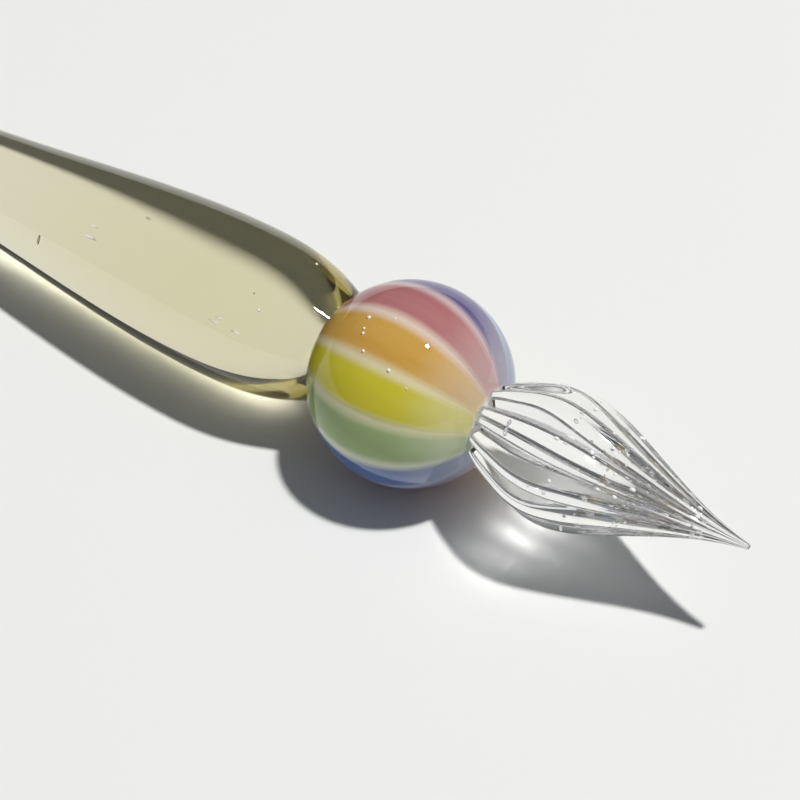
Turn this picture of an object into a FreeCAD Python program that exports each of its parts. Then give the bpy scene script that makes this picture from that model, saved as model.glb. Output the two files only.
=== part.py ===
# Glass dip pen, lampworked from three gathers of glass that are fused end to end:
# a smoke-tinted handle, a striped and cased ball bead, and a clear ribbed nib.
#
# Units are millimetres. The pen's axis is X, with the nib pointing along +X. The
# origin is the centre of the ball bead. Z is up, and the stripes and ribs are set
# round the axis as they lie when the pen rests on a table.
# Every angle round the axis is counted from +Y towards +Z.

import FreeCAD, Part
import math
import os

os.makedirs("parts", exist_ok=True)

V = FreeCAD.Vector
CENTRE = V(0, 0, 0)
X_AXIS = V(1, 0, 0)

# ---- driving dimensions -------------------------------------------------------

BEAD_RADIUS = 7.0
CASING_WALL = 0.25
CANE_DEPTH = 0.45

STRIPE_COLOURS = ["blue", "violet", "rose", "orange", "yellow", "green"]
STRIPE_REPEATS = 2
STRIPE_WIDTH = 24.4          # degrees round the axis; the rest of each pitch is opal
FIRST_STRIPE = 21.5          # angle of the first blue stripe's middle
STRIPE_END = 14.0            # degrees from the axis where a cane stops, at both poles

# Handle: distance behind the bead's centre, and radius there.
HANDLE_SEAT_RADIUS = 3.65    # where the handle's skin meets the bead's core
HANDLE_SEAT_SLOPE = 0.45     # how fast the skin widens there
HANDLE_STATIONS = [
    (8.5, 4.82),
    (14.6, 5.66),
    (23.5, 5.25),
    (34.0, 4.14),
    (48.0, 3.05),
    (70.0, 2.3),
    (100.0, 2.1),
]
TAIL_RADIUS = 2.1
TAIL_START = 131.0           # the rounded end begins here

# Nib: distance in front of the bead's centre, radius over the ribs' crests, and the
# crest's own rounding as a share of that radius (small = deep grooves).
RIB_COUNT = 10
RIB_ANGLE = 13.8             # angle of the first rib's crest
RIB_TWIST = 4.0              # degrees that a rib turns between the bead and the tip
NIB_STATIONS = [
    (5.6, 2.05, 0.25),
    (6.9, 3.0, 0.245),
    (8.4, 3.78, 0.242),
    (10.2, 4.52, 0.24),
    (12.0, 4.8, 0.24),
    (13.9, 4.52, 0.24),
    (16.3, 3.65, 0.24),
    (18.7, 2.6, 0.24),
    (21.3, 1.5, 0.245),
    (23.8, 0.66, 0.26),
    (25.2, 0.33, 0.28),
    (25.8, 0.22, 0.30),
    (26.0, 0.10, 0.30),
]

# ---- derived sizes ------------------------------------------------------------

CORE_RADIUS = BEAD_RADIUS - CASING_WALL
STRIPE_COUNT = len(STRIPE_COLOURS) * STRIPE_REPEATS
STRIPE_PITCH = 360.0 / STRIPE_COUNT
RIB_PITCH = 360.0 / RIB_COUNT


def on_circle(radius, degrees):
    """Point of the XY plane at an angle from +X on a circle round the origin."""
    angle = math.radians(degrees)
    return V(radius * math.cos(angle), radius * math.sin(angle), 0)


def round_axis(x, radius, degrees):
    """Point at a distance along the pen, at a radius and angle round its axis."""
    angle = math.radians(degrees)
    return V(x, radius * math.cos(angle), radius * math.sin(angle))


def core_ball():
    """The ball that the casing, the handle and the nib are all melted on to."""
    return Part.makeSphere(CORE_RADIUS)


def save(shape, node):
    solids = len(shape.Solids)
    box = shape.BoundBox
    print(f"{node:20s} solids {solids}  valid {shape.isValid()}  volume {shape.Volume:9.2f}"
          f"  x {box.XMin:8.2f} {box.XMax:7.2f}")
    shape.exportStep(f"parts/{node}.step")


# ---- the bead -----------------------------------------------------------------

def stripe_cane(middle):
    """One flat cane laid from pole to pole: a lune of the core's skin.

    A slice of ring between two circles of the XY plane is turned about the pen's
    axis through the stripe's width.
    """
    outer = CORE_RADIUS
    inner = CORE_RADIUS - CANE_DEPTH
    low, high = STRIPE_END, 180.0 - STRIPE_END
    over = Part.Arc(on_circle(outer, low), on_circle(outer, 90), on_circle(outer, high))
    under = Part.Arc(on_circle(inner, high), on_circle(inner, 90), on_circle(inner, low))
    left_end = Part.LineSegment(on_circle(outer, high), on_circle(inner, high))
    right_end = Part.LineSegment(on_circle(inner, low), on_circle(outer, low))
    edges = [over.toShape(), left_end.toShape(), under.toShape(), right_end.toShape()]
    slice_face = Part.Face(Part.Wire(edges))
    slice_face.rotate(CENTRE, X_AXIS, middle - STRIPE_WIDTH / 2)
    return slice_face.revolve(CENTRE, X_AXIS, STRIPE_WIDTH)


def stripe_canes():
    """The canes by node name, the colours in order and then in order again."""
    canes = {}
    for index in range(STRIPE_COUNT):
        colour = STRIPE_COLOURS[index % len(STRIPE_COLOURS)]
        turn = index // len(STRIPE_COLOURS) + 1
        canes[f"stripe_{colour}_{turn}"] = stripe_cane(FIRST_STRIPE + index * STRIPE_PITCH)
    return canes


def bead_core(canes):
    """Opal ball with a shallow bed for each cane."""
    return core_ball().cut(list(canes.values()))


def bead_casing(joined):
    """Clear skin gathered over the core and its canes, open where others are joined."""
    return Part.makeSphere(BEAD_RADIUS).cut([core_ball()] + joined)


# ---- the handle ---------------------------------------------------------------

def handle():
    """Teardrop turned about the axis, cupped in front to sit on the bead's core."""
    seat_angle = math.degrees(math.asin(HANDLE_SEAT_RADIUS / CORE_RADIUS))
    seat_middle = on_circle(CORE_RADIUS, 180)
    seat_edge = on_circle(CORE_RADIUS, 180 - seat_angle)
    cup = Part.Arc(seat_middle, on_circle(CORE_RADIUS, 180 - seat_angle / 2), seat_edge)

    skin_points = [seat_edge]
    skin_points += [V(-distance, radius, 0) for distance, radius in HANDLE_STATIONS]
    skin_points.append(V(-TAIL_START, TAIL_RADIUS, 0))
    skin = Part.BSplineCurve()
    skin.interpolate(
        skin_points,
        InitialTangent=V(-1, HANDLE_SEAT_SLOPE, 0),
        FinalTangent=V(-1, 0, 0),
    )

    tail_centre = V(-TAIL_START, 0, 0)
    tail = Part.Arc(
        V(-TAIL_START, TAIL_RADIUS, 0),
        tail_centre + on_circle(TAIL_RADIUS, 135),
        tail_centre + on_circle(TAIL_RADIUS, 180),
    )
    axis_line = Part.LineSegment(V(-TAIL_START - TAIL_RADIUS, 0, 0), seat_middle)
    outline = Part.Wire([c.toShape() for c in (cup, skin, tail, axis_line)])
    return Part.Face(outline).revolve(CENTRE, X_AXIS, 360)


# ---- the nib ------------------------------------------------------------------

def rib_section(x, crest_radius, roundness, turned):
    """Closed outline of ten round ribs that meet in sharp grooves.

    Each rib is an arc about a centre on its own crest line, roundness x crest
    radius in size, cut off where it meets the ribs beside it.
    """
    rib_size = roundness * crest_radius
    rib_centre = crest_radius - rib_size
    half = math.radians(RIB_PITCH / 2)
    groove = rib_centre * math.cos(half)
    groove += math.sqrt(rib_size**2 - (rib_centre * math.sin(half)) ** 2)
    arcs = []
    for index in range(RIB_COUNT):
        crest = RIB_ANGLE + turned + index * RIB_PITCH
        arc = Part.Arc(
            round_axis(x, groove, crest - RIB_PITCH / 2),
            round_axis(x, crest_radius, crest),
            round_axis(x, groove, crest + RIB_PITCH / 2),
        )
        arcs.append(arc.toShape())
    return Part.Wire(arcs)


def nib():
    """Ribbed bulb drawn out to a fine point, seated on the bead's core."""
    first = NIB_STATIONS[0][0]
    last = NIB_STATIONS[-1][0]
    sections = []
    for x, crest_radius, roundness in NIB_STATIONS:
        turned = RIB_TWIST * (x - first) / (last - first)
        sections.append(rib_section(x, crest_radius, roundness, turned))
    return Part.makeLoft(sections, True, False).cut(core_ball())


canes = stripe_canes()
handle_glass = handle()
nib_glass = nib()
save(handle_glass, "handle")
save(bead_core(canes), "bead_core")
for node, cane in canes.items():
    save(cane, node)
save(bead_casing([handle_glass, nib_glass]), "bead_casing")
save(nib_glass, "nib")
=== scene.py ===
# %% [markdown]
# # A glass dip pen
#
# The pen is three gathers of glass melted together: a smoke-tinted handle, a ball
# bead with coloured canes under a clear skin, and a clear ribbed nib. This lesson
# works each of them out as a surface with numpy, gives it its glass, and lays the
# pen on a table in soft light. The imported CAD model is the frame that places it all.

# %% Load the frame
import math

import bpy
import numpy as np
from mathutils import Matrix, Vector


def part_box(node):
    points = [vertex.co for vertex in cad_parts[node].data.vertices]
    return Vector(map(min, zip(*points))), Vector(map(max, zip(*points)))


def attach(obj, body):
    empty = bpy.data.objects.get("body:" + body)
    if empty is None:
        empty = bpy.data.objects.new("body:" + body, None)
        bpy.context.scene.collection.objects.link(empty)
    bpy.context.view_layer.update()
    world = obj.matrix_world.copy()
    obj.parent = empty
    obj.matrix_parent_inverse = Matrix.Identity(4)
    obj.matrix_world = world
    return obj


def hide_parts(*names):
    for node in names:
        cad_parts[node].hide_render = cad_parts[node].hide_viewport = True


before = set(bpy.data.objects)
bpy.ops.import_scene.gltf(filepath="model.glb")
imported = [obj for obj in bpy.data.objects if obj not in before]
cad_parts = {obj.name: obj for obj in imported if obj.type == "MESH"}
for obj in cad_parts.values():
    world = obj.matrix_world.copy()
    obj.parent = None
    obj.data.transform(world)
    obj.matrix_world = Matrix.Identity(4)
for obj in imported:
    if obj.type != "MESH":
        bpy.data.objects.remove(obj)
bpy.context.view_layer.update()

MM = 0.001

# %% [markdown]
# ## Sizes
#
# The pen's axis is X, with the nib towards +X, and the bead's centre is the origin.
# Radii and ends are read from the frame's boxes. Angles round the axis are counted
# from +Y towards +Z, in degrees, as a glassworker would turn the pen in the flame.

# %% Sizes from the frame
BEAD_RADIUS = float(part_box("bead_casing")[1][2])
CORE_RADIUS = float(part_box("bead_core")[1][2])
TAIL_END = -float(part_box("handle")[0][0])
NIB_END = float(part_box("nib")[1][0])
reaches = {"bead": BEAD_RADIUS, "core": CORE_RADIUS, "tail": TAIL_END, "tip": NIB_END}
for name, size in reaches.items():
    print(f"{name}: {size / MM:.2f} mm from the bead's centre")

# %% [markdown]
# ## Skins from rings
#
# Every piece here is a closed skin: rings of points stacked along the pen, with one
# point to close each end. Glass needs many small faces, because it acts as a lens
# and shows the edges of large ones. A ring is made by turning round the pen's axis.


# %% Rings and skins
def around_axis(x, radius, degrees):
    """Points at distance x along the pen, at a radius and angle round its axis.

    y = radius x cos(angle), z = radius x sin(angle).
    """
    angle = np.radians(degrees)
    x, radius, angle = np.broadcast_arrays(x, radius, angle)
    return np.stack([x, radius * np.cos(angle), radius * np.sin(angle)], axis=-1)


def skin(rings, poles=None, outwards=True):
    """Points and faces of a closed skin.

    rings is an array of rows x columns x 3, whose columns turn from +Y towards +Z.
    Each face joins a point to the next one of its ring and to the two of the ring
    after it. Two poles close the ends with fans of triangles; with no poles the last
    ring is joined to the first, as in a band.
    """
    rows, columns = rings.shape[:2]
    number = np.arange(rows * columns).reshape(rows, columns)
    along = np.roll(number, -1, axis=1)
    after, along_after = np.roll(number, -1, axis=0), np.roll(along, -1, axis=0)
    quads = np.stack([number, along, along_after, after], axis=-1)
    points = rings.reshape(-1, 3)
    if poles is None:
        faces = quads.reshape(-1, 4).tolist()
    else:
        low = np.full(columns, rows * columns)
        points = np.vstack([points, poles])
        low_fan = np.stack([along[0], number[0], low], axis=-1)
        high_fan = np.stack([number[-1], along[-1], low + 1], axis=-1)
        faces = quads[:-1].reshape(-1, 4).tolist() + low_fan.tolist() + high_fan.tolist()
    if not outwards:
        faces = [face[::-1] for face in faces]
    return points, faces


test_ring = around_axis(0.0, 1.0, np.array([0, 90]))
print("0 and 90 degrees round the axis:", test_ring.round(3).tolist())

# %% [markdown]
# ## From skins to objects
#
# One object may hold several skins, such as the glass and the bubbles in it. Smooth
# shading hides the faces, and edges that bend more than `sharp_above` stay sharp.


# %% Objects
def piece(name, skins, stands_for, material, sharp_above=40.0):
    """One Blender object from a list of skins."""
    points, faces = [], []
    for some_points, some_faces in skins:
        start = sum(len(p) for p in points)
        points.append(some_points)
        faces += [[start + index for index in face] for face in some_faces]
    points = np.vstack(points)
    mesh = bpy.data.meshes.new(name)
    mesh.from_pydata(points.tolist(), [], faces)
    mesh.update()
    mesh.polygons.foreach_set("use_smooth", np.ones(len(mesh.polygons), bool))
    mesh.set_sharp_from_angle(angle=math.radians(sharp_above))
    mesh.materials.append(material)
    made = bpy.data.objects.new(name, mesh)
    bpy.context.collection.objects.link(made)
    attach(made, "root")
    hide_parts(*stands_for)
    size = (points.max(axis=0) - points.min(axis=0)) / MM
    print(f"{name}: {len(faces)} faces, {size.round(2).tolist()} mm")


print("every piece rides on the frame's body root")

# %% [markdown]
# ## Bubbles
#
# Gathered glass traps small bubbles. A bubble deep in solid glass is a hole in it, so its
# skin faces inwards, into the air that it holds, and belongs to the same mesh. A bubble
# close under a surface shows as a bright speck instead: that is a small ball of its own,
# which faces outwards and carries a painted white glint.


# %% Bubbles
def bubble(x, away, degrees, radius, stretch, outwards=False):
    """Skin of one bubble: a ball whose length along the pen is stretched.

    A point at angle a from the axis lies at stretch x cos a along it and at sin a
    away from it, times the radius. Sizes here are in millimetres.
    """
    tilt = np.radians(np.linspace(180, 0, 12)[1:-1])[:, None]
    turn = np.linspace(0, 360, 16, endpoint=False)[None, :]
    ring = around_axis(stretch * radius * np.cos(tilt), radius * np.sin(tilt), turn)
    centre = around_axis(x, away, degrees)
    end = np.array([stretch * radius, 0, 0])
    poles = np.array([centre - end, centre + end])
    return skin((ring + centre) * MM, poles * MM, outwards)


print("one bubble has", len(bubble(0, 0, 0, 1, 1)[1]), "faces")

# %% [markdown]
# ## Building a material
#
# Two small helpers save typing: one starts a material, the other adds a node and
# sets its properties or its inputs by name.


# %% Material helpers
def new_material(name):
    """A node material, its nodes and links, and its Principled shader."""
    material = bpy.data.materials.new(name)
    material.use_nodes = True
    nodes = material.node_tree.nodes
    return material, nodes, material.node_tree.links, nodes["Principled BSDF"]


def add(nodes, kind, **values):
    """A node of that kind; From_Min=0.1 sets its property or its input From Min."""
    node = nodes.new(kind)
    for key, value in values.items():
        if hasattr(node, key):
            setattr(node, key, value)
        else:
            node.inputs[key.replace("_", " ")].default_value = value
    return node


print("two helpers made:", new_material.__name__, "and", add.__name__)

# %% [markdown]
# ## Glass
#
# Clear glass is a Principled shader with full transmission that bends light by 1.47,
# as borosilicate does. Pulled glass is never quite flat: it keeps faint draw lines
# along the pen, which a little bump gives. Tinted glass gets its colour from its
# depth, so the tint is a volume that absorbs, and thick places come out darker.

# %% Glass
GLASS_IOR = 1.47
DRAW_LINE_STRETCH = 0.15
DRAW_LINE_SCALE = 600.0
DRAW_LINE_DETAIL = 3.0
DRAW_LINE_HEIGHT = 0.02 * MM
SMOKE_TINT = (0.715, 0.635, 0.125)
SMOKE_DENSITY = 60.0


def draw_lines(nodes, links, strength):
    """A normal with faint lines along the pen: noise on a place squashed along X."""
    place = add(nodes, "ShaderNodeTexCoord")
    mapping = add(nodes, "ShaderNodeMapping", Scale=(DRAW_LINE_STRETCH, 1, 1))
    noise = add(nodes, "ShaderNodeTexNoise", Scale=DRAW_LINE_SCALE, Detail=DRAW_LINE_DETAIL)
    bump = add(nodes, "ShaderNodeBump", Strength=strength, Distance=DRAW_LINE_HEIGHT)
    links.new(place.outputs["Object"], mapping.inputs["Vector"])
    links.new(mapping.outputs["Vector"], noise.inputs["Vector"])
    links.new(noise.outputs["Fac"], bump.inputs["Height"])
    return bump.outputs["Normal"]


def glass(name, strength, tint=None, density=0.0):
    """Clear or tinted glass with draw lines; density is the tint's, per metre."""
    material, nodes, links, shader = new_material(name)
    shader.inputs["Base Color"].default_value = (1, 1, 1, 1)
    shader.inputs["Roughness"].default_value = 0.0
    shader.inputs["IOR"].default_value = GLASS_IOR
    shader.inputs["Transmission Weight"].default_value = 1.0
    links.new(draw_lines(nodes, links, strength), shader.inputs["Normal"])
    if tint:
        volume = add(nodes, "ShaderNodeVolumeAbsorption", Density=density, Color=(*tint, 1))
        links.new(volume.outputs["Volume"], nodes["Material Output"].inputs["Volume"])
    return material


smoke_glass = glass("smoke_glass", strength=0.1, tint=SMOKE_TINT, density=SMOKE_DENSITY)
clear_glass = glass("clear_glass", strength=0.1)
print("glasses:", smoke_glass.name, clear_glass.name)

# %% [markdown]
# ## A smooth outline
#
# A gather of glass pulled in the flame has an outline without corners. A cubic
# spline through a few measured stations gives one, for the handle and the nib alike.


# %% Spline
def smooth_through(stations, at, start_slope=None, end_slope=None):
    """Cubic spline through stations, an array of (place, value) rows.

    Its second derivative runs straight between stations, and is found by asking the
    first derivative to match where two spans meet. An end with no slope given is
    left free of curvature.
    """
    place, value = np.asarray(stations, float).T
    gap = np.diff(place)
    rise = np.diff(value) / gap
    count = len(place)
    matrix, wanted = np.eye(count), np.zeros(count)
    for i in range(1, count - 1):
        matrix[i, i - 1 : i + 2] = gap[i - 1], 2 * (gap[i - 1] + gap[i]), gap[i]
        wanted[i] = 6 * (rise[i] - rise[i - 1])
    if start_slope is not None:
        matrix[0, :2] = 2 * gap[0], gap[0]
        wanted[0] = 6 * (rise[0] - start_slope)
    if end_slope is not None:
        matrix[-1, -2:] = gap[-1], 2 * gap[-1]
        wanted[-1] = 6 * (end_slope - rise[-1])
    curve = np.linalg.solve(matrix, wanted)
    span = np.clip(np.searchsorted(place, at) - 1, 0, count - 2)
    left, right, width = at - place[span], place[span + 1] - at, gap[span]
    bent = (curve[span] * right**3 + curve[span + 1] * left**3) / (6 * width)
    bent += (value[span] / width - curve[span] * width / 6) * right
    bent += (value[span + 1] / width - curve[span + 1] * width / 6) * left
    return bent


halfway = smooth_through([(0, 0), (1, 1), (2, 0)], np.array([0.5]))
print("halfway up a hump of height 1:", halfway.round(3).tolist())

# %% [markdown]
# ## The handle
#
# The handle swells quickly out from the bead, is fullest a little way behind it, and
# then narrows to a slim stem with a fire-polished end. Its front end is sunk into
# the bead, because melted glass has no surface where two pieces join.

# %% Handle outline
HANDLE_STATIONS = [
    (5.68, 3.65),
    (8.5, 4.82),
    (14.6, 5.66),
    (23.5, 5.25),
    (34.0, 4.14),
    (48.0, 3.05),
    (70.0, 2.3),
    (100.0, 2.1),
    (131.0, 2.1),
]
SEAT_SLOPE = 0.45
SUNK = 0.6 * MM
TAIL_START, TAIL_RADIUS = np.array(HANDLE_STATIONS[-1]) * MM


def handle_outline(skin_rings=360, tail_rings=28):
    """Place and radius along the handle, from its tail to its sunk front.

    The tail is a quarter circle; the skin is the spline through the stations; the
    front carries straight on into the bead. The rings are crowded towards the bead,
    where the outline bends most.
    """
    stations = np.array(HANDLE_STATIONS) * MM
    start = stations[0, 0]
    share = np.linspace(0, 1, skin_rings)
    behind = start + (TAIL_START - start) * share**1.5
    radius = smooth_through(stations, behind, SEAT_SLOPE, 0.0)
    turn = np.radians(np.linspace(0, 90, tail_rings + 1)[1:-1])
    tail_place = TAIL_START + (TAIL_END - TAIL_START) * np.cos(turn)
    tail_rim = TAIL_RADIUS * np.sin(turn)
    place = np.concatenate([-tail_place, -behind[::-1], [-start + SUNK]])
    rim = np.concatenate([tail_rim, radius[::-1], [radius[0] - SEAT_SLOPE * SUNK]])
    return place, rim


handle_place, handle_rim = handle_outline()
fullest = handle_rim.argmax()
thickness = 2 * handle_rim[fullest] / MM
print(f"handle is {thickness:.2f} mm thick at x {handle_place[fullest] / MM:.1f} mm")

# %% [markdown]
# The outline turned about the axis is the handle's skin. One odd bubble lies across
# the pen; the others were drawn out with the glass.

# %% Handle
HANDLE_COLUMNS = 144
# x, distance from the axis, angle round it, radius, stretch along the pen
HANDLE_BUBBLES = [
    (-30.3, 1.4, 217, 0.24, 0.45),
    (-13.0, 0.6, 40, 0.05, 1.0),
    (-22.5, 1.8, 60, 0.06, 4.0),
    (-41.0, 1.2, 120, 0.08, 5.0),
    (-52.0, 0.9, 300, 0.06, 6.0),
]
full_turn = np.linspace(0, 360, HANDLE_COLUMNS, endpoint=False)
handle_rings = around_axis(handle_place[:, None], handle_rim[:, None], full_turn)
handle_ends = [(-TAIL_END, 0, 0), (handle_place[-1], 0, 0)]
handle_skins = [skin(handle_rings, handle_ends)]
handle_skins += [bubble(*each) for each in HANDLE_BUBBLES]
piece("handle_glass", handle_skins, ["handle"], smoke_glass)

# %% [markdown]
# ## The canes on the bead
#
# The bead was built up from the middle: an opal ball, then twelve flat canes laid
# from pole to pole and melted in flush. Six colours go twice round. The core is a
# hair smaller than the canes' tops, so that no two faces lie in one place.

# %% Core and cane skins
STRIPE_COLOURS = ["blue", "violet", "rose", "orange", "yellow", "green"]
STRIPE_PITCH = 30.0
STRIPE_WIDTH = 24.4
FIRST_STRIPE = 21.5
STRIPE_END = 14.0
CANE_DEPTH = 0.45 * MM
FLUSH = 0.01 * MM


def ball_rings(radius, tilt, turn):
    """Rings of a ball: tilt is the angle from +X, turn the angle round the axis."""
    tilt = np.radians(tilt)[:, None]
    return around_axis(radius * np.cos(tilt), radius * np.sin(tilt), turn)


def core_skin(rows=130, columns=180):
    """The opal ball."""
    radius = CORE_RADIUS - FLUSH
    turn = np.linspace(0, 360, columns, endpoint=False)
    rings = ball_rings(radius, np.linspace(180, 0, rows)[1:-1], turn)
    return skin(rings, [(-radius, 0, 0), (radius, 0, 0)])


def cane_skin(middle, rows=110, columns=15):
    """One cane: its section is a bent strip, carried from pole to pole.

    Each ring goes along the strip's top from one edge to the other and back along
    its underside; the ring after it is the same strip at the next tilt.
    """
    across = np.linspace(-STRIPE_WIDTH / 2, STRIPE_WIDTH / 2, columns)
    turn = middle + np.concatenate([across, across[::-1]])
    radius = np.repeat([CORE_RADIUS, CORE_RADIUS - CANE_DEPTH], columns)
    rings = ball_rings(radius, np.linspace(180 - STRIPE_END, STRIPE_END, rows), turn)
    return skin(rings, [rings[0].mean(axis=0), rings[-1].mean(axis=0)])


cane_across = math.radians(STRIPE_WIDTH) * CORE_RADIUS / MM
print(f"a cane is {cane_across:.2f} mm wide at the bead's waist")

# %% [markdown]
# ## The canes' colours
#
# A cane's edges soften as it melts into the opal, and stain it a little. One smooth
# step, counted in degrees from the cane's middle, gives both: it starts inside the
# cane and ends in the opal beside it, which takes a tint from both its neighbours.
# The colours are also paler towards the nib. The angle round the axis comes from the place
# itself.

# %% Colours
OPAL = (0.74, 0.67, 0.50)
PALE = (0.82, 0.79, 0.74)
CANE_COLOURS = {
    "blue": (0.055, 0.13, 0.385),
    "violet": (0.092, 0.07, 0.25),
    "rose": (0.43, 0.135, 0.16),
    "orange": (0.63, 0.34, 0.045),
    "yellow": (0.68, 0.605, 0.012),
    "green": (0.35, 0.49, 0.18),
}
# the opal between a cane and the next one, tinted by both
GAP_COLOURS = {
    "blue": (0.42, 0.46, 0.60),
    "violet": (0.62, 0.48, 0.49),
    "rose": (0.72, 0.58, 0.49),
    "orange": (0.78, 0.69, 0.44),
    "yellow": (0.72, 0.70, 0.44),
    "green": (0.68, 0.71, 0.58),
}
FADE_START = 8.6
FADE_END = 14.8


def gap_before(colour):
    """Colour of the opal on the side of a cane where the angle is smaller."""
    return GAP_COLOURS[STRIPE_COLOURS[STRIPE_COLOURS.index(colour) - 1]]


def opal_share(off):
    """Share of opal at an angle off a cane's middle: the smooth step t t (3 - 2 t)."""
    t = min(max((off - FADE_START) / (FADE_END - FADE_START), 0), 1)
    return t * t * (3 - 2 * t)


def degrees_round_axis(nodes, links, start, low, high):
    """Degrees round the pen's axis, counted from start and wrapped to low..high."""
    place = add(nodes, "ShaderNodeTexCoord")
    split = add(nodes, "ShaderNodeSeparateXYZ")
    turn = add(nodes, "ShaderNodeMath", operation="ARCTAN2")
    degrees = add(nodes, "ShaderNodeMath", operation="DEGREES")
    off = add(nodes, "ShaderNodeMath", operation="SUBTRACT")
    off.inputs[1].default_value = start
    wrap = add(nodes, "ShaderNodeMath", operation="WRAP")
    wrap.inputs[1].default_value = high
    wrap.inputs[2].default_value = low
    links.new(place.outputs["Object"], split.inputs["Vector"])
    links.new(split.outputs["Z"], turn.inputs[0])
    links.new(split.outputs["Y"], turn.inputs[1])
    links.new(turn.outputs[0], degrees.inputs[0])
    links.new(degrees.outputs[0], off.inputs[0])
    links.new(off.outputs[0], wrap.inputs[0])
    return place.outputs["Object"], split.outputs["X"], wrap.outputs[0]


print(f"opal's share at a cane's edge: {opal_share(STRIPE_WIDTH / 2):.2f}")

# %% [markdown]
# A cane is streaked along its length, because it was pulled. Two canes of one colour
# lie opposite each other and share a material, so the angle is wrapped to half a
# turn, with the cane's middle at zero. Where the nib is melted on, the colour gives
# way to plain pale glass.

# %% Cane glass
STREAK_STRETCH = 0.12
STREAK_SCALE = 900.0
STREAK_DETAIL = 4.0
DARK_STREAK = 0.88
LIGHT_STREAK = 0.9
STREAK_OPAL = 0.14
PALEST = 0.38
PALE_FROM = 0.3
UNDER_NIB = (0.88, 0.88, 0.88)
SEAT_FROM = 0.915
SEAT_TO = 0.95
UNDER_SKIN_ROUGHNESS = 0.6


def mix(nodes, links, factor, first, second):
    """Colour between two others, each a colour or a node's output."""
    blend = add(nodes, "ShaderNodeMix", data_type="RGBA")
    links.new(factor, blend.inputs[0])
    for slot, colour in ((6, first), (7, second)):
        if isinstance(colour, bpy.types.NodeSocket):
            links.new(colour, blend.inputs[slot])
        else:
            blend.inputs[slot].default_value = (*colour, 1)
    return blend.outputs[2]


def smooth_step(nodes, links, value, start, end, most=1.0):
    """Node output that rises smoothly from 0 to most as value goes start to end."""
    step = add(nodes, "ShaderNodeMapRange", interpolation_type="SMOOTHSTEP")
    step.inputs["From Min"].default_value = start
    step.inputs["From Max"].default_value = end
    step.inputs["To Max"].default_value = most
    links.new(value, step.inputs["Value"])
    return step.outputs["Result"]


def pale_under_nib(nodes, links, along, colour):
    """The same colour, but turning to plain pale glass where the nib is melted on."""
    seated = smooth_step(nodes, links, along, SEAT_FROM * CORE_RADIUS, SEAT_TO * CORE_RADIUS)
    return mix(nodes, links, seated, colour, UNDER_NIB)


def dull_under_skin(shader):
    """Take the gloss off glass that lies under the clear skin, which has the gloss."""
    shader.inputs["Roughness"].default_value = UNDER_SKIN_ROUGHNESS
    shader.inputs["Specular IOR Level"].default_value = 0.0


def cane_glass(colour, middle):
    """A cane's streaked colour, paler near the nib and fading to opal at its edges."""
    material, nodes, links, shader = new_material(f"{colour}_cane_glass")
    place, along, degrees = degrees_round_axis(nodes, links, middle, -90.0, 90.0)
    off = add(nodes, "ShaderNodeMath", operation="ABSOLUTE")
    links.new(degrees, off.inputs[0])
    mapping = add(nodes, "ShaderNodeMapping", Scale=(STREAK_STRETCH, 1, 1))
    noise = add(nodes, "ShaderNodeTexNoise", Scale=STREAK_SCALE, Detail=STREAK_DETAIL)
    links.new(place, mapping.inputs["Vector"])
    links.new(mapping.outputs["Vector"], noise.inputs["Vector"])
    full = np.array(CANE_COLOURS[colour])
    light = full * LIGHT_STREAK + np.array(OPAL) * STREAK_OPAL
    streaked = mix(nodes, links, noise.outputs["Fac"], full * DARK_STREAK, light)
    near_nib = smooth_step(nodes, links, along, PALE_FROM * CORE_RADIUS, CORE_RADIUS, PALEST)
    paled = mix(nodes, links, near_nib, streaked, PALE)
    edge = smooth_step(nodes, links, off.outputs[0], FADE_START, FADE_END)
    past_middle = smooth_step(nodes, links, degrees, -1.0, 1.0)
    gap = mix(nodes, links, past_middle, gap_before(colour), GAP_COLOURS[colour])
    faded = mix(nodes, links, edge, paled, gap)
    links.new(pale_under_nib(nodes, links, along, faded), shader.inputs["Base Color"])
    dull_under_skin(shader)
    return material


for number, colour in enumerate(STRIPE_COLOURS):
    middle = FIRST_STRIPE + number * STRIPE_PITCH
    material = cane_glass(colour, middle)
    for lap in (1, 2):
        skins = [cane_skin(middle + 180 * (lap - 1))]
        piece(f"{colour}_cane_{lap}", skins, [f"stripe_{colour}_{lap}"], material)

# %% [markdown]
# ## The opal core
#
# The core shows between the canes. A colour ramp over half a turn stains it beside
# each cane by the same smooth step, so the two pieces meet in one colour. Slow noise
# makes the opal a little cloudy.

# %% Opal core
CLOUD_SCALE = 500.0
CLOUD_DETAIL = 3.0
CLOUD_DEPTH = 0.08


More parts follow.
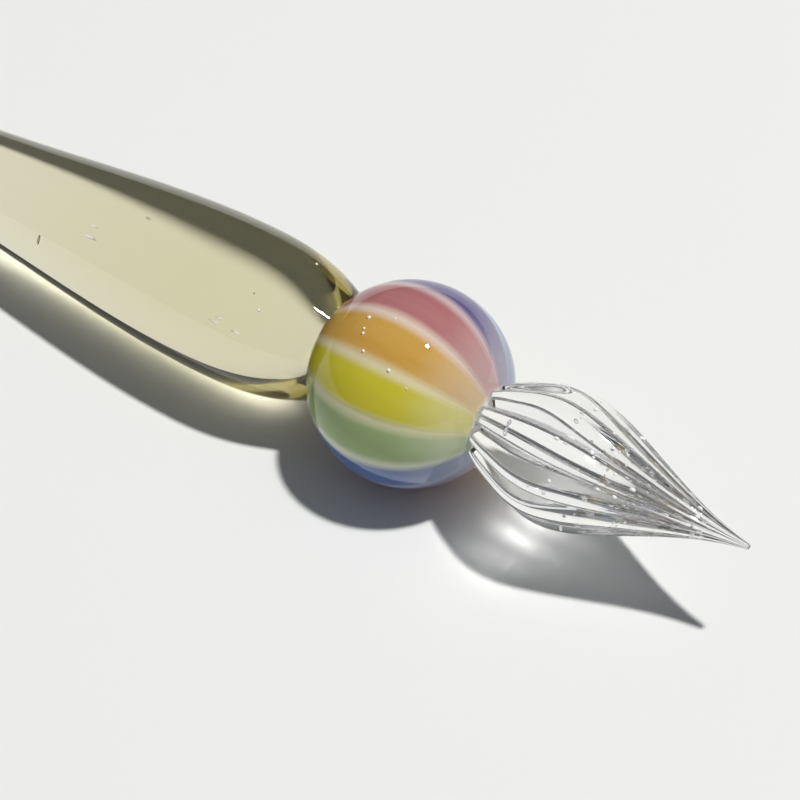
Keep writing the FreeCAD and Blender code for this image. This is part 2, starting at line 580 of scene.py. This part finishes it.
def opal_glass():
    """Milky glass, stained beside each cane by its colour, with faint clouds."""
    material, nodes, links, shader = new_material("opal_glass")
    start = FIRST_STRIPE - STRIPE_PITCH / 2
    place, along, degrees = degrees_round_axis(nodes, links, start, 0.0, 180.0)
    share = add(nodes, "ShaderNodeMath", operation="DIVIDE")
    share.inputs[1].default_value = 180.0
    ramp = add(nodes, "ShaderNodeValToRGB")
    stops = ramp.color_ramp.elements
    stops[0].color = stops[1].color = (*GAP_COLOURS[STRIPE_COLOURS[-1]], 1)
    for number, colour in enumerate(STRIPE_COLOURS):
        for side in (-FADE_END, -STRIPE_WIDTH / 2, STRIPE_WIDTH / 2, FADE_END):
            gap = np.array(gap_before(colour) if side < 0 else GAP_COLOURS[colour])
            opal = opal_share(abs(side))
            stained = np.array(CANE_COLOURS[colour]) * (1 - opal) + gap * opal
            stop = stops.new(((number + 0.5) * STRIPE_PITCH + side) / 180.0)
            stop.color = (*stained, 1)
    noise = add(nodes, "ShaderNodeTexNoise", Scale=CLOUD_SCALE, Detail=CLOUD_DETAIL)
    cloud = add(nodes, "ShaderNodeMapRange", To_Min=1 - CLOUD_DEPTH, To_Max=1 + CLOUD_DEPTH)
    cloudy = add(nodes, "ShaderNodeVectorMath", operation="SCALE")
    links.new(degrees, share.inputs[0])
    links.new(share.outputs[0], ramp.inputs["Fac"])
    links.new(place, noise.inputs["Vector"])
    links.new(noise.outputs["Fac"], cloud.inputs["Value"])
    links.new(ramp.outputs["Color"], cloudy.inputs[0])
    links.new(cloud.outputs["Result"], cloudy.inputs["Scale"])
    colour = pale_under_nib(nodes, links, along, cloudy.outputs["Vector"])
    links.new(colour, shader.inputs["Base Color"])
    dull_under_skin(shader)
    return material


piece("opal_core", [core_skin()], ["bead_core"], opal_glass())

# %% [markdown]
# ## The nib's section
#
# A nib is made from a rod with ribs pressed into it, pulled out to a point so that
# the ribs run on to the tip and the grooves between them carry ink there. Each row
# of the table is a place, the radius over the crests, and each crest's own rounding
# as a share of that radius: small rounding leaves deep grooves. No two ribs take the
# heat alike, so some are a little slacker than others in the middle of the nib.

# %% Nib section
RIB_COUNT = 10
RIB_PITCH = 360.0 / RIB_COUNT
RIB_ANGLE = 13.8
RIB_TWIST = 4.0
NIB_STATIONS = [
    (5.6, 2.05, 0.25),
    (6.9, 3.0, 0.245),
    (8.4, 3.78, 0.242),
    (10.2, 4.52, 0.24),
    (12.0, 4.8, 0.24),
    (13.9, 4.52, 0.24),
    (16.3, 3.65, 0.24),
    (18.7, 2.6, 0.24),
    (21.3, 1.5, 0.245),
    (23.8, 0.66, 0.26),
    (25.2, 0.33, 0.28),
    (25.8, 0.22, 0.30),
]
NIB_START = NIB_STATIONS[0][0] * MM
TIP_START = NIB_STATIONS[-1][0] * MM
GROOVE_ROUNDING = 0.05
HAND = np.random.default_rng(7)
MOST_SLACK = 0.05
RIB_SLACK = HAND.uniform(0, MOST_SLACK, RIB_COUNT)
SLACK_REACH = 8 * MM


def rib_turn(x):
    """Angle round the axis of the first rib's crest, which turns towards the tip."""
    return RIB_ANGLE + RIB_TWIST * (x - NIB_START) / (NIB_END - NIB_START)


def nib_radius(x, degrees):
    """Radius of the nib's skin at distance x and angle round the axis.

    Within a rib, at angle a from its crest, the section is a circle whose centre is
    c from the axis: r = c cos a + sqrt(size squared - (c sin a) squared). The angle
    is eased near the groove so that its bottom is rounded instead of sharp. A slack
    rib is lower by a share that fades out in the grooves and at the nib's two ends.
    """
    x, degrees = np.broadcast_arrays(x, degrees)
    stations = np.array(NIB_STATIONS)
    inside = np.minimum(x, TIP_START)
    crest = smooth_through(stations[:, :2] * MM, inside)
    roundness = np.interp(inside, stations[:, 0] * MM, stations[:, 2])
    tip_share = np.clip((x - TIP_START) / (NIB_END - TIP_START), 0, 1)
    crest = crest * np.sqrt(1 - tip_share**2)
    turned = (degrees - rib_turn(x)) / RIB_PITCH
    rib = np.round(turned).astype(int)
    to_groove = 1 - 2 * np.abs(turned - rib)
    eased = np.sqrt(to_groove**2 + GROOVE_ROUNDING**2) - GROOVE_ROUNDING
    eased = eased / (math.sqrt(1 + GROOVE_ROUNDING**2) - GROOVE_ROUNDING)
    angle = np.radians(RIB_PITCH / 2) * (1 - eased)
    size = roundness * crest
    centre = crest - size
    radius = centre * np.cos(angle) + np.sqrt(size**2 - (centre * np.sin(angle)) ** 2)
    middle = np.clip(np.minimum(x - NIB_START, NIB_END - x) / SLACK_REACH, 0, 1)
    return radius * (1 - RIB_SLACK[rib % RIB_COUNT] * middle * eased)


waist = 12 * MM
crest, groove = nib_radius(waist, rib_turn(waist) + np.array([0, RIB_PITCH / 2])) / MM
print(f"at x {waist / MM:.0f} mm a crest is at {crest:.2f} and a groove at {groove:.2f} mm")

# %% [markdown]
# ## The nib's skin
#
# The columns of the skin turn with the ribs and are crowded into the grooves, where
# the skin bends most. Its bubbles stay below the grooves and are drawn out towards
# the tip. Their places are random, but the seed is fixed, so every run makes the
# same nib.

# %% Nib
BUBBLE_REACH = (8.6, 22.0)
BUBBLE_RADIUS = (0.03, 0.075)
BUBBLE_STRETCH = (1.5, 3.5)
BUBBLE_ROOM = 0.72
BUBBLE_SHARE = 0.3


def rib_columns(per_side=16, crowding=1.6):
    """Angles of the skin's columns from the first crest, crowded into the grooves."""
    steps = np.concatenate([np.arange(per_side), np.arange(per_side, 0, -1)])
    side = np.repeat([-1, 1], per_side)
    one_rib = side * RIB_PITCH / 2 * (1 - (steps / per_side) ** crowding)
    return (one_rib + RIB_PITCH * np.arange(RIB_COUNT)[:, None]).ravel()


def nib_skin(body_rings=250, tip_rings=9):
    """The ribbed skin from inside the bead to the rounded tip."""
    body = np.linspace(NIB_START, TIP_START, body_rings)
    bend = np.radians(np.linspace(0, 90, tip_rings)[1:-1])
    tip = TIP_START + (NIB_END - TIP_START) * np.sin(bend)
    place = np.concatenate([body, tip])[:, None]
    turn = rib_columns() + rib_turn(place)
    rings = around_axis(place, nib_radius(place, turn), turn)
    return skin(rings, [(NIB_START, 0, 0), (NIB_END, 0, 0)])


def nib_bubbles(count=26):
    """Small bubbles drawn out along the nib, in the glass below its grooves.

    The square root of an even draw spreads their places evenly over the section.
    """
    made = []
    for x in HAND.uniform(*BUBBLE_REACH, count):
        groove_turn = RIB_PITCH / 2 + rib_turn(x * MM)
        room = BUBBLE_ROOM * float(nib_radius(x * MM, groove_turn)) / MM
        away = room * math.sqrt(HAND.uniform(0, 1))
        size = min(HAND.uniform(*BUBBLE_RADIUS), BUBBLE_SHARE * room)
        made.append((x, away, HAND.uniform(0, 360), size, HAND.uniform(*BUBBLE_STRETCH)))
    return made


nib_skins = [nib_skin()] + [bubble(*each) for each in nib_bubbles()]
piece("ribbed_nib", nib_skins, ["nib"], clear_glass, sharp_above=80.0)

# %% [markdown]
# ## The bead's clear skin
#
# The clear skin is a band: its outside is the bead's ball, its underside is sunk a
# little into the opal core, and its two edges run in under the handle's and the
# nib's glass. At the nib the edge follows the ribs.

# %% Clear skin
HANDLE_SEAT = HANDLE_STATIONS[0][1] * MM
UNDER_RADIUS = CORE_RADIUS - 5 * FLUSH
FIRST_GUESS = 0.92 * BEAD_RADIUS


def casing_skin(rows=100, columns=240, steps=6):
    """A band between two balls, from the handle's rim to the nib's ribbed rim.

    The nib's rim is found by stepping a few times between the nib's radius r at
    distance x and the distance on the ball where the radius is r.
    """
    turn = np.linspace(0, 360, columns, endpoint=False)
    x = np.full(turn.shape, FIRST_GUESS)
    for _ in range(steps):
        rim = nib_radius(x, turn)
        x = np.sqrt(BEAD_RADIUS**2 - rim**2)
    nib_tilt = np.arcsin(rim / BEAD_RADIUS)
    handle_tilt = math.pi - math.asin(HANDLE_SEAT / CORE_RADIUS)
    tilt = handle_tilt + (nib_tilt - handle_tilt) * np.linspace(0, 1, rows)[:, None]
    along, across = np.cos(tilt), np.sin(tilt)
    outside = around_axis(BEAD_RADIUS * along, BEAD_RADIUS * across, turn)
    underside = around_axis(UNDER_RADIUS * along, UNDER_RADIUS * across, turn)
    return skin(np.concatenate([outside, underside[::-1]]))


print(f"the clear skin is {(BEAD_RADIUS - CORE_RADIUS) / MM:.2f} mm thick")

# %% [markdown]
# ## Light through the clear skin
#
# A path tracer seldom finds the lamp through bent glass from just below it, so the
# opal would come out too dark. A Light Path node tells which rays are shadow rays
# and which left a dull surface. For those only, the skin is plain transparency.

# %% Clear skin glass
THROUGH_SKIN = (0.93, 0.94, 0.93)


def open_to_light(material):
    """Let light from the lamp or from dull surfaces go straight through a thin skin."""
    nodes, links = material.node_tree.nodes, material.node_tree.links
    surface = nodes["Principled BSDF"].outputs["BSDF"]
    through = add(nodes, "ShaderNodeBsdfTransparent", Color=(*THROUGH_SKIN, 1))
    rays = add(nodes, "ShaderNodeLightPath")
    for kind in ("Is Shadow Ray", "Is Diffuse Ray"):
        choice = add(nodes, "ShaderNodeMixShader")
        links.new(rays.outputs[kind], choice.inputs["Fac"])
        links.new(surface, choice.inputs[1])
        links.new(through.outputs["BSDF"], choice.inputs[2])
        surface = choice.outputs["Shader"]
    links.new(surface, nodes["Material Output"].inputs["Surface"])


skin_glass = glass("skin_glass", strength=0.05)
open_to_light(skin_glass)
piece("clear_skin", [casing_skin()], ["bead_casing"], skin_glass)

# %% [markdown]
# ## Bright bubbles
# ## Bubbles with painted glints
# The wall of a small bubble turns back nearly all the light that meets it, so from most
# sides it glints like a white bead. That glint is painted here: a nearly white, dull surface
# stands in for it, where a real wall would leave noise. On the bead the bubbles lie under
# the clear skin, half sunk in the opal.

# %% Bubbles with painted glints
# painted glint: this nearly white colour stands in for the light that a bubble's wall turns
# back
GLINT_WHITE = (0.97, 0.97, 0.96)
GLINT_ROUGHNESS = 0.3
GLINT_UNEVEN = 0.1
# angle from +X, angle round the axis, radius
SKIN_BUBBLES = [
    (106.7, 103.0, 0.14),
    (105.0, 110.4, 0.10),
    (103.7, 113.3, 0.11),
    (97.6, 122.4, 0.11),
    (78.9, 125.9, 0.12),
    (66.0, 131.0, 0.07),
    (92.0, 98.0, 0.07),
    (120.0, 250.0, 0.11),
    (84.0, 312.0, 0.12),
    (70.0, 20.0, 0.09),
]


def painted_glint_bubble():
    """Painted glint on a small bubble's wall: nearly white, a little uneven."""
    material, nodes, links, shader = new_material("painted_glint_bubble")
    shader.inputs["Base Color"].default_value = (*GLINT_WHITE, 1)
    shader.inputs["Roughness"].default_value = GLINT_ROUGHNESS
    links.new(draw_lines(nodes, links, GLINT_UNEVEN), shader.inputs["Normal"])
    return material


def skin_bubble(tilt, turn, radius):
    """A round bubble under the clear skin, half sunk in the opal."""
    depth = CORE_RADIUS / MM
    tilt = math.radians(tilt)
    along, away = depth * math.cos(tilt), depth * math.sin(tilt)
    return bubble(along, away, turn, radius, 1.0, outwards=True)


glint_paint = painted_glint_bubble()
bubble_skins = [skin_bubble(*each) for each in SKIN_BUBBLES]
# the bead's bubbles, each with a painted white glint
piece("skin_bubble_glints", bubble_skins, ["bead_casing"], glint_paint)

# %% [markdown]
# ## Specks in the skin
#
# Some bubbles end up at the glass's own skin, where they catch the light as white specks: in
# the nib mostly along the grooves, and in the handle drawn out to dashes. Each is a small
# ball, more than half sunk, and its glint is painted with the same nearly white surface. The
# nib's other side has the same ones, half a turn on.

# %% Specks
# x, angle round the axis, radius, stretch along the pen
HANDLE_SPECKS = [
    (-9.2, 63, 0.11, 1.0),
    (-10.0, 127, 0.11, 1.0),
    (-12.7, 148, 0.06, 8.0),
    (-12.4, 144, 0.045, 7.0),
    (-11.0, 149, 0.055, 6.0),
    (-24.4, 133, 0.07, 8.0),
    (-24.5, 124, 0.045, 8.0),
]
NIB_SPECKS = [
    (11.2, 166, 0.11, 1.0),
    (12.0, 143, 0.08, 1.0),
    (12.3, 161, 0.11, 1.0),
    (12.9, 116, 0.13, 1.5),
    (13.2, 143, 0.15, 1.0),
    (13.3, 54, 0.11, 1.0),
    (13.3, 105, 0.18, 1.6),
    (13.4, 64, 0.13, 1.0),
    (13.4, 89, 0.08, 1.0),
    (13.4, 162, 0.13, 1.0),
    (13.5, 151, 0.13, 1.0),
    (14.4, 21, 0.08, 1.0),
    (14.7, 186, 0.11, 1.0),
    (15.1, 111, 0.18, 1.0),
    (15.4, 115, 0.11, 1.0),
    (15.5, 80, 0.11, 1.0),
    (16.1, 95, 0.11, 1.0),
    (16.2, 26, 0.13, 1.5),
    (16.2, 101, 0.11, 1.0),
    (16.2, 144, 0.20, 1.4),
    (16.5, 94, 0.08, 1.0),
    (16.6, 230, 0.13, 1.0),
    (17.0, 91, 0.11, 1.0),
    (17.0, 119, 0.11, 1.0),
    (17.2, 101, 0.08, 1.0),
    (17.4, 146, 0.13, 1.3),
    (18.3, 126, 0.13, 1.8),
    (19.1, 69, 0.08, 1.0),
    (20.4, 144, 0.14, 2.6),
    (20.8, 99, 0.08, 1.0),
    (22.1, 68, 0.15, 1.3),
    (22.3, 108, 0.15, 1.3),
]
SPECK_SUNK = 0.5


def speck(skin_radius, x, degrees, radius, stretch):
    """A ball whose centre is a share of its radius below the skin."""
    away = skin_radius / MM - SPECK_SUNK * radius
    return bubble(x, away, degrees, radius, stretch, outwards=True)


def nib_speck(x, degrees, radius, stretch):
    """A speck in the nib's ribbed skin."""
    return speck(float(nib_radius(x * MM, degrees)), x, degrees, radius, stretch)


def handle_speck(x, degrees, radius, stretch):
    """A speck in the handle's round skin."""
    rim = float(np.interp(x * MM, handle_place, handle_rim))
    return speck(rim, x, degrees, radius, stretch)


# the specks are balls sunk in the skin, with painted white glints
speck_skins = [nib_speck(*each) for each in NIB_SPECKS]
speck_skins += [nib_speck(x, degrees + 180, *size) for x, degrees, *size in NIB_SPECKS]
piece("nib_speck_glints", speck_skins, ["nib"], glint_paint)
speck_skins = [handle_speck(*each) for each in HANDLE_SPECKS]
piece("handle_speck_glints", speck_skins, ["handle"], glint_paint)

# %% [markdown]
# ## The table
#
# The pen lies on its bead and its tail, so the table is tilted a little against the
# pen's axis. `place` turns a place given on the table into the frame.

# %% Table
REST_SLOPE = math.asin((BEAD_RADIUS - TAIL_RADIUS) / TAIL_START)
HEADING = math.radians(-36.5)
TABLE_SIZE = 1.5
TABLE_COLOUR = (0.80, 0.81, 0.81)
TABLE_ROUGHNESS = 0.9

pen_on_table = Matrix.Rotation(HEADING, 3, "Z") @ Matrix.Rotation(-REST_SLOPE, 3, "Y")
table_to_pen = pen_on_table.transposed()


def place(right, away, up):
    """A place given from the bead, right, away and up as the camera sees it."""
    return table_to_pen @ Vector((right, away, up))


corners = [(-1, -1), (1, -1), (1, 1), (-1, 1)]
spots = [place(TABLE_SIZE * a, TABLE_SIZE * b, -BEAD_RADIUS) for a, b in corners]
table_mesh = bpy.data.meshes.new("table")
table_mesh.from_pydata([tuple(spot) for spot in spots], [], [(0, 1, 2, 3)])
table = bpy.data.objects.new("table", table_mesh)
bpy.context.collection.objects.link(table)
table_material, _, _, table_shader = new_material("pale_table")
table_shader.inputs["Base Color"].default_value = (*TABLE_COLOUR, 1)
table_shader.inputs["Roughness"].default_value = TABLE_ROUGHNESS
table_mesh.materials.append(table_material)
print(f"the pen's axis slopes {math.degrees(REST_SLOPE):.2f} degrees, nib up")

# %% [markdown]
# ## The light
#
# One round lamp stands high on the nib's side. Its light shines through the glass
# and gathers into bright patches beside the shadows.

# %% Lamp
LAMP_HEIGHT = math.radians(72.6)
LAMP_AWAY = 1.2
LAMP_SIZE = 0.07
LAMP_POWER = 13.8
LAMP_COLOUR = (1.0, 0.985, 0.96)

lamp_data = bpy.data.lights.new("softbox", "AREA")
lamp_data.shape = "DISK"
lamp_data.size = LAMP_SIZE
lamp_data.energy = LAMP_POWER
lamp_data.color = LAMP_COLOUR
lamp = bpy.data.objects.new("softbox", lamp_data)
bpy.context.collection.objects.link(lamp)
lamp_way = place(math.cos(LAMP_HEIGHT), 0, math.sin(LAMP_HEIGHT))
lamp.location = lamp_way * LAMP_AWAY
lamp.rotation_euler = lamp_way.to_track_quat("Z", "Y").to_euler()
print(f"lamp: {LAMP_POWER} W, {math.degrees(LAMP_SIZE / LAMP_AWAY):.1f} degrees across")

# %% [markdown]
# ## The room
#
# The room fills the shadows. It is darker at the horizon than overhead, which draws
# thin dark lines along the edges of the glass. The camera itself sees a plain pale
# backdrop.

# %% Room
ROOM_HORIZON = (0.03, 0.03, 0.033)
ROOM_TOP = (0.20, 0.21, 0.22)
ROOM_BACKDROP = (0.72, 0.74, 0.75)

world = bpy.data.worlds.new("room")
bpy.context.scene.world = world
world.use_nodes = True
nodes, links = world.node_tree.nodes, world.node_tree.links
way = add(nodes, "ShaderNodeTexCoord")
height = add(nodes, "ShaderNodeVectorMath", operation="DOT_PRODUCT")
height.inputs[1].default_value = place(0, 0, 1)
rays = add(nodes, "ShaderNodeLightPath")
links.new(way.outputs["Generated"], height.inputs[0])
sky = mix(nodes, links, height.outputs["Value"], ROOM_HORIZON, ROOM_TOP)
seen = mix(nodes, links, rays.outputs["Is Camera Ray"], sky, ROOM_BACKDROP)
links.new(seen, nodes["Background"].inputs["Color"])
print("room:", ROOM_HORIZON, "at the horizon,", ROOM_TOP, "overhead")

# %% [markdown]
# ## The camera
#
# The camera looks down on the bead from close by. Cycles blurs glass that it meets
# after a dull surface, to keep noise down; less blur than usual keeps some shape in
# the bright patches.

# %% Camera
CAUSTIC_BLUR = 0.36
CAMERA_PITCH = math.radians(47.59)
CAMERA_ROLL = math.radians(-1.3)
CAMERA_PLACE = (-0.757 * MM, -120.278 * MM, 130.119 * MM)
CAMERA_LENS = 119.63
SENSOR_WIDTH = 36.0
NEAREST_SEEN = 0.005

camera_data = bpy.data.cameras.new("camera")
camera_data.lens = CAMERA_LENS
camera_data.sensor_width = SENSOR_WIDTH
camera_data.clip_start = NEAREST_SEEN
camera = bpy.data.objects.new("camera", camera_data)
bpy.context.collection.objects.link(camera)
pitched = Matrix.Rotation(math.pi / 2 - CAMERA_PITCH, 3, "X")
rolled = Matrix.Rotation(CAMERA_ROLL, 3, "Z")
turned = (table_to_pen @ (pitched @ rolled)).to_4x4()
camera.matrix_world = Matrix.Translation(place(*CAMERA_PLACE)) @ turned
bpy.context.scene.camera = camera
bpy.context.scene.view_settings.view_transform = "Standard"
bpy.context.scene.cycles.blur_glossy = CAUSTIC_BLUR
print(f"camera: {Vector(CAMERA_PLACE).length / MM:.0f} mm from the bead")
